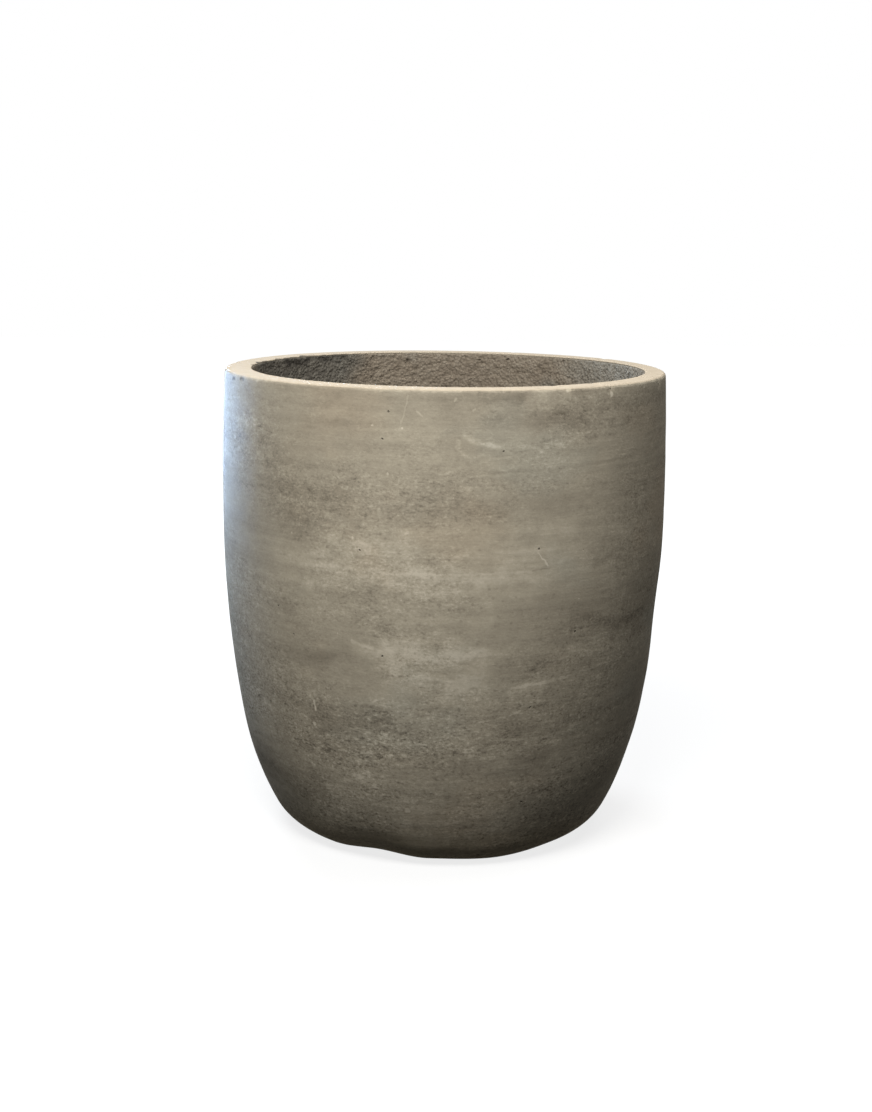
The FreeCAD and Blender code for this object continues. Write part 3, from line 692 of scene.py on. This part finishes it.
    colour = ramp(tree, tone, settings["tones"])
    warmth = noise("warmth")
    colour = blend(tree, span(tree, warmth, 0.52, 0.70, 0.0, 0.35), colour, settings["warm"], "MULTIPLY")
    colour = blend(tree, span(tree, warmth, 0.32, 0.46, 0.5, 0.0), colour, settings["cool"], "MULTIPLY")
    wetEdge = maths(tree, "MULTIPLY_ADD", blotch, 0.03, axis["Z"])
    wet = span(tree, wetEdge, *settings["footHeight"], 1.0, 0.0)
    colour = blend(tree, wet, colour, settings["footStain"], "MULTIPLY")
    # Pinholes are painted near black: painted shade in the holes
    holed = maths(tree, "MULTIPLY", hole, settings["pinholeShadeCover"])
    colour = blend(tree, holed, colour, settings["pinholeShadeColour"])

    # The rim was struck off and rubbed back to paler mortar
    lip = maths(tree, "MULTIPLY_ADD", mottle, 0.0010, axis["Z"])
    rubbed = span(tree, lip, *settings["rubbedHeight"])
    creamTone = summed(tree, settings["creamBase"], ((blotch, 0.5), (mottle, 0.5), (grain, 0.35)))
    colour = blend(tree, rubbed, colour, ramp(tree, creamTone, settings["cream"]))
    # Along the broken inner arris the rim turns near black: painted shade under the ragged edge
    arrisShade = maths(tree, "MULTIPLY", rubbed, span(tree, stainShadeAndLight, -0.75, -0.35, 0.9, 0.0))
    colour = blend(tree, arrisShade, colour, settings["arrisShadeColour"])
    tree.links.new(colour, shader.inputs["Base Color"])
    tree.links.new(span(tree, blotch, 0.3, 0.7, *settings["roughness"]), shader.inputs["Roughness"])
    shader.inputs["Specular IOR Level"].default_value = settings["specular"]
    raiseRelief(tree, shader, summed(tree, 0.0, (
        (grain, 0.06), (speckle, 0.08), (mottle, 0.12), (blotch, 0.30), (fineLifts, 0.35),
        (hole, -0.7), (lines, 0.04))))
    return material


backingFinish = {
    "tones": [(0.0, (0.045, 0.036, 0.027)), (0.35, (0.155, 0.127, 0.096)), (0.55, (0.235, 0.196, 0.150)),
              (0.75, (0.300, 0.258, 0.205)), (1.0, (0.440, 0.400, 0.340))],
    "rust": (1.22, 0.88, 0.66, 1), "slate": (0.86, 1.00, 1.14, 1),
    "specular": 0.2, "roughness": (0.78, 0.96), "base": -0.21,
    "noise": {
        "patch": {"scale": 10.0, "detail": 4.0, "seed": 31.0},
        "clods": {"scale": 150.0, "detail": 4.0, "seed": 32.0, "rough": 0.6},
        "sand": {"scale": 400.0, "detail": 3.0, "seed": 33.0, "rough": 0.6},
        "stray": {"scale": 90.0, "detail": 3.0, "seed": 34.0},
        "hue": {"scale": 8.0, "detail": 3.0, "seed": 36.0},
    },
    "gritScale": 290.0, "strayBy": 0.010,
    "voids": {"scale": 62.0, "reach": (0.03, 0.17), "share": (0.45, 0.8)},
}


# Coarse mortar pressed in by hand and left rough
def backingMortar(settings):
    material, tree, shader = newMaterial("backingMortar")
    place = tree.nodes.new("ShaderNodeTexCoord").outputs["Object"]

    def noise(name, output="Fac"):
        return cloud(tree, place, **settings["noise"][name])[output]

    patch, clods, sand = (noise(name) for name in ("patch", "clods", "sand"))
    grit = cells(tree, place, settings["gritScale"])["Distance"]
    led = vectors(tree, "ADD", place, scaled(tree, noise("stray", "Color"), settings["strayBy"]))
    pit = scattered(tree, led, **settings["voids"])
    stainShadeAndLight = put(tree, "ShaderNodeAttribute", attribute_name="stainShadeAndLight").outputs["Fac"]
    # Pits are darkened: painted shade in the hollows; the stored tone adds painted shade at the back left
    # and a painted pool of light at the right
    tone = summed(tree, settings["base"], (
        (patch, 0.45), (clods, 0.62), (sand, 0.66), (grit, -0.18), (pit, -0.30), (stainShadeAndLight, 1.0)))
    colour = ramp(tree, tone, settings["tones"])
    hue = noise("hue")
    colour = blend(tree, span(tree, hue, 0.55, 0.70, 0.0, 0.5), colour, settings["rust"], "MULTIPLY")
    colour = blend(tree, span(tree, hue, 0.30, 0.45, 0.5, 0.0), colour, settings["slate"], "MULTIPLY")
    # Cool tint where the inside marks stand: the colour of the painted shade and painted light
    shadeAndLightTint = span(tree, maths(tree, "ABSOLUTE", stainShadeAndLight), 0.02, 0.24, 0.0, 0.75)
    colour = blend(tree, shadeAndLightTint, colour, settings["slate"], "MULTIPLY")
    tree.links.new(colour, shader.inputs["Base Color"])
    tree.links.new(span(tree, sand, 0.3, 0.7, *settings["roughness"]), shader.inputs["Roughness"])
    shader.inputs["Specular IOR Level"].default_value = settings["specular"]
    raiseRelief(tree, shader, summed(tree, 0.0, ((clods, 1.5), (sand, 0.8), (grit, -1.3), (pit, -2.0))))
    return material


plainFinishes = {
    "sleevePlastic": {
        "tones": [(0.25, (0.150, 0.155, 0.160)), (0.55, (0.215, 0.222, 0.228)),
                  (0.85, (0.330, 0.325, 0.310))],
        "scale": 60.0, "rough": (0.42, 0.62), "metal": 0.0, "facets": 0.06, "relief": 0.06, "dust": 0.35,
    },
    "plugRubber": {
        "tones": [(0.25, (0.010, 0.010, 0.011)), (0.55, (0.020, 0.020, 0.021)),
                  (0.85, (0.050, 0.049, 0.047))],
        "scale": 90.0, "rough": (0.55, 0.78), "metal": 0.0, "facets": 0.06, "relief": 0.08, "dust": 0.3,
    },
    "galvanisedStrip": {
        "tones": [(0.2, (0.380, 0.395, 0.410)), (0.5, (0.520, 0.535, 0.550)),
                  (0.85, (0.680, 0.690, 0.700))],
        "scale": 160.0, "rough": (0.30, 0.55), "metal": 1.0, "facets": 0.36, "relief": 0.03, "dust": 0.2,
    },
}
dustColour = (0.34, 0.31, 0.25, 1)


# Moulded plastic, rubber and zinc-coated steel, each dusted with mortar
def plainFinish(name, settings):
    material, tree, shader = newMaterial(name)
    scale = settings["scale"]
    place = tree.nodes.new("ShaderNodeTexCoord").outputs["Object"]
    mottle = cloud(tree, place, scale, 4.0, 41.0)["Fac"]
    fine = cloud(tree, place, scale * 9, 3.0, 42.0)["Fac"]
    facet = cellLot(tree, cells(tree, place, scale * 1.5))
    tone = maths(tree, "MULTIPLY_ADD", facet, settings["facets"], mottle)
    tone = maths(tree, "MULTIPLY_ADD", fine, 0.3, maths(tree, "SUBTRACT", tone, 0.2))
    colour = ramp(tree, tone, settings["tones"])
    dust = span(tree, cloud(tree, place, scale * 0.6, 5.0, 43.0, rough=0.65)["Fac"], 0.5, 0.72)
    dust = maths(tree, "MULTIPLY", dust, settings["dust"])
    tree.links.new(blend(tree, dust, colour, dustColour), shader.inputs["Base Color"])
    roughness = span(tree, maths(tree, "ADD", fine, dust), 0.3, 0.9, *settings["rough"])
    tree.links.new(roughness, shader.inputs["Roughness"])
    shader.inputs["Metallic"].default_value = settings["metal"]
    raiseRelief(tree, shader, summed(tree, 0.0, (
        (mottle, settings["relief"] * 2), (fine, settings["relief"]))))
    return material


faceLook = faceMortar(faceFinish)
backingLook = backingMortar(backingFinish)
plainLooks = {name: plainFinish(name, settings) for name, settings in plainFinishes.items()}
print("finishes mixed")

coatTree = turnedCoatTree()
# Depths in metres
faceWork = {
    "Segments": 560, "Seed": 3.1,
    "Wave Depth": 0.0009, "Wave Scale": 4.0,
    "Lift Depth": 0.0003, "Lift Scale": 45.0,
    "Lump Depth": 0.00012, "Lump Scale": 60.0,
    "Pit Depth": 0.0, "Pit Scale": 30.0,
    "Chip Depth": 0.0003, "Chip Scale": 70.0,
}
faceCoat = turnCoat("faceCoat", coatTree, faceRows(faceSection), faceWork, faceLook)
pressDents(faceCoat, dents, dentZone, arrisWear)
driftMouth(faceCoat, mouthDrift)
paintStainShadeAndLight(faceCoat, clouding, arrisWear)
backingWork = {
    "Segments": 560, "Seed": 8.4,
    "Wave Depth": 0.002, "Wave Scale": 9.0,
    "Lift Depth": 0.0006, "Lift Scale": 50.0,
    "Lump Depth": 0.0020, "Lump Scale": 140.0,
    "Pit Depth": 0.0018, "Pit Scale": 70.0,
    "Chip Depth": 0.0, "Chip Scale": 60.0,
}
backingCoat = turnCoat("backingCoat", coatTree, backingRows(backingSection), backingWork, backingLook)
driftMouth(backingCoat, mouthDrift)
paintStainShadeAndLight(backingCoat, insideShadeAndLight)

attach(faceCoat, "pot")
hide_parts("face_coat")
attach(backingCoat, "pot")
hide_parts("backing_coat")

# The other solids keep their shape and take a look by a word in their name
lookWords = {
    "sleeve": "sleevePlastic", "plug": "plugRubber", "hoop": "galvanisedStrip", "strip": "galvanisedStrip",
}
for nodeName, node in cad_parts.items():
    for word, look in lookWords.items():
        if word in nodeName:
            for slot in node.material_slots:
                slot.material = plainLooks[look]


def seenRay(tree):  # 1 for rays from the eye, straight or by way of a shine or a pane
    path = tree.nodes.new("ShaderNodeLightPath").outputs
    seen = maths(tree, "MAXIMUM", path["Is Camera Ray"], path["Is Glossy Ray"])
    return maths(tree, "MAXIMUM", seen, path["Is Transmission Ray"])


# Floor: white to the eye, dark to the light that bounces off it
floorSettings = {
    "size": 14.0, "bounce": 0.07, "pale": 0.22,
    "glowNear": 0.80, "glowFar": 1.0, "near": 0.4, "far": 1.6,
}


def floorMaterial(settings):
    material = bpy.data.materials.new("studioFloor")
    material.use_nodes = True
    tree = material.node_tree
    tree.nodes.clear()
    seen = seenRay(tree)
    bounce, pale = settings["bounce"], settings["pale"]
    matt = put(tree, "ShaderNodeBsdfDiffuse",
               {"Color": blend(tree, seen, (bounce, bounce, bounce, 1), (pale, pale, pale, 1))})
    place = tree.nodes.new("ShaderNodeTexCoord").outputs["Object"]
    away = vectors(tree, "LENGTH", place)
    glow = span(tree, away, settings["near"], settings["far"], settings["glowNear"], settings["glowFar"])
    lit = put(tree, "ShaderNodeEmission",
              {"Color": (1, 1, 1, 1), "Strength": maths(tree, "MULTIPLY", seen, glow)})
    both = put(tree, "ShaderNodeAddShader", {0: matt.outputs[0], 1: lit.outputs[0]})
    put(tree, "ShaderNodeOutputMaterial", {"Surface": both.outputs[0]})
    return material


half = floorSettings["size"] / 2
floorMesh = bpy.data.meshes.new("studioFloor")
floorMesh.from_pydata([(-half, -half, 0), (half, -half, 0), (half, half, 0), (-half, half, 0)],
                      [], [(0, 1, 2, 3)])
floorMesh.materials.append(floorMaterial(floorSettings))
studioFloor = bpy.data.objects.new("studioFloor", floorMesh)
bpy.context.scene.collection.objects.link(studioFloor)

# Light: a broad panel above in front, a soft fill and a rear lamp, and two small cool lamps at the
# back left, the window and the sky, that light the left edge
lightSettings = {
    "panel": {"power": 27.2, "size": (0.7, 0.5), "at": (-0.23, -1.04, 1.43), "aim": (0, 0, 0.35),
              "colour": (1.0, 0.99, 0.96)},
    "window": {"power": 0.28, "size": (0.05, 0.24), "at": (-0.533, 0.2975, 0.47),
               "aim": (-0.205, -0.08, 0.47), "colour": (0.42, 0.62, 1.0), "spread": 24.0},
    "sky": {"power": 0.52, "size": (0.25, 0.35), "at": (-0.80, 0.445, 0.40),
            "aim": (-0.21, -0.05, 0.39), "colour": (0.50, 0.68, 1.0), "spread": 40.0},
    "fill": {"power": 12.1, "size": (0.8, 0.8), "at": (0.66, -0.05, 1.86), "aim": (0, 0, 0.4),
             "colour": (1.0, 0.98, 0.96)},
    "rear": {"power": 34.0, "size": (1.0, 0.8), "at": (-0.8, 1.5, 1.3), "aim": (0, 0, 0.3),
             "colour": (0.86, 0.93, 1.0)},
}


def addLamp(name, settings):
    data = bpy.data.lights.new(name, "AREA")
    data.shape = "RECTANGLE"
    data.energy = settings["power"]
    data.size, data.size_y = settings["size"]
    data.color = settings["colour"]
    data.spread = math.radians(settings.get("spread", 180.0))
    lamp = bpy.data.objects.new(name, data)
    bpy.context.scene.collection.objects.link(lamp)
    lamp.location = settings["at"]
    toward = Vector(settings["aim"]) - Vector(settings["at"])
    lamp.rotation_euler = toward.to_track_quat("-Z", "Y").to_euler()
    lamp.visible_camera = False


for lampName, lampSettings in lightSettings.items():
    addLamp(lampName, lampSettings)

# World: white to the eye, a dim grey to the pot
worldSettings = {"ambient": (0.035, 0.036, 0.038)}


def studioWorld(settings):
    world = bpy.data.worlds.new("studio")
    world.use_nodes = True
    tree = world.node_tree
    tree.nodes.clear()
    tone = blend(tree, seenRay(tree), (*settings["ambient"], 1), (1, 1, 1, 1))
    glow = put(tree, "ShaderNodeBackground", {"Color": tone, "Strength": 1.0})
    put(tree, "ShaderNodeOutputWorld", {"Surface": glow.outputs[0]})
    return world


bpy.context.scene.world = studioWorld(worldSettings)

# Camera: eye height, distance and tilt read from the rim's ellipse in the photograph
cameraSettings = {"at": (-0.0074, -1.725, 0.6422), "tilt": 11.66, "roll": 0.7, "lens": 52.87, "sensor": 36.0}
cameraData = bpy.data.cameras.new("camera")
cameraData.lens = cameraSettings["lens"]
cameraData.sensor_fit = "AUTO"
cameraData.sensor_width = cameraSettings["sensor"]
camera = bpy.data.objects.new("camera", cameraData)
bpy.context.scene.collection.objects.link(camera)
tilted = Matrix.Rotation(math.radians(90 - cameraSettings["tilt"]), 4, "X")
camera.matrix_world = (Matrix.Translation(cameraSettings["at"]) @ tilted
                       @ Matrix.Rotation(math.radians(cameraSettings["roll"]), 4, "Z"))
bpy.context.scene.camera = camera
bpy.context.scene.view_settings.view_transform = "Standard"
print("stage, lamps and camera set")
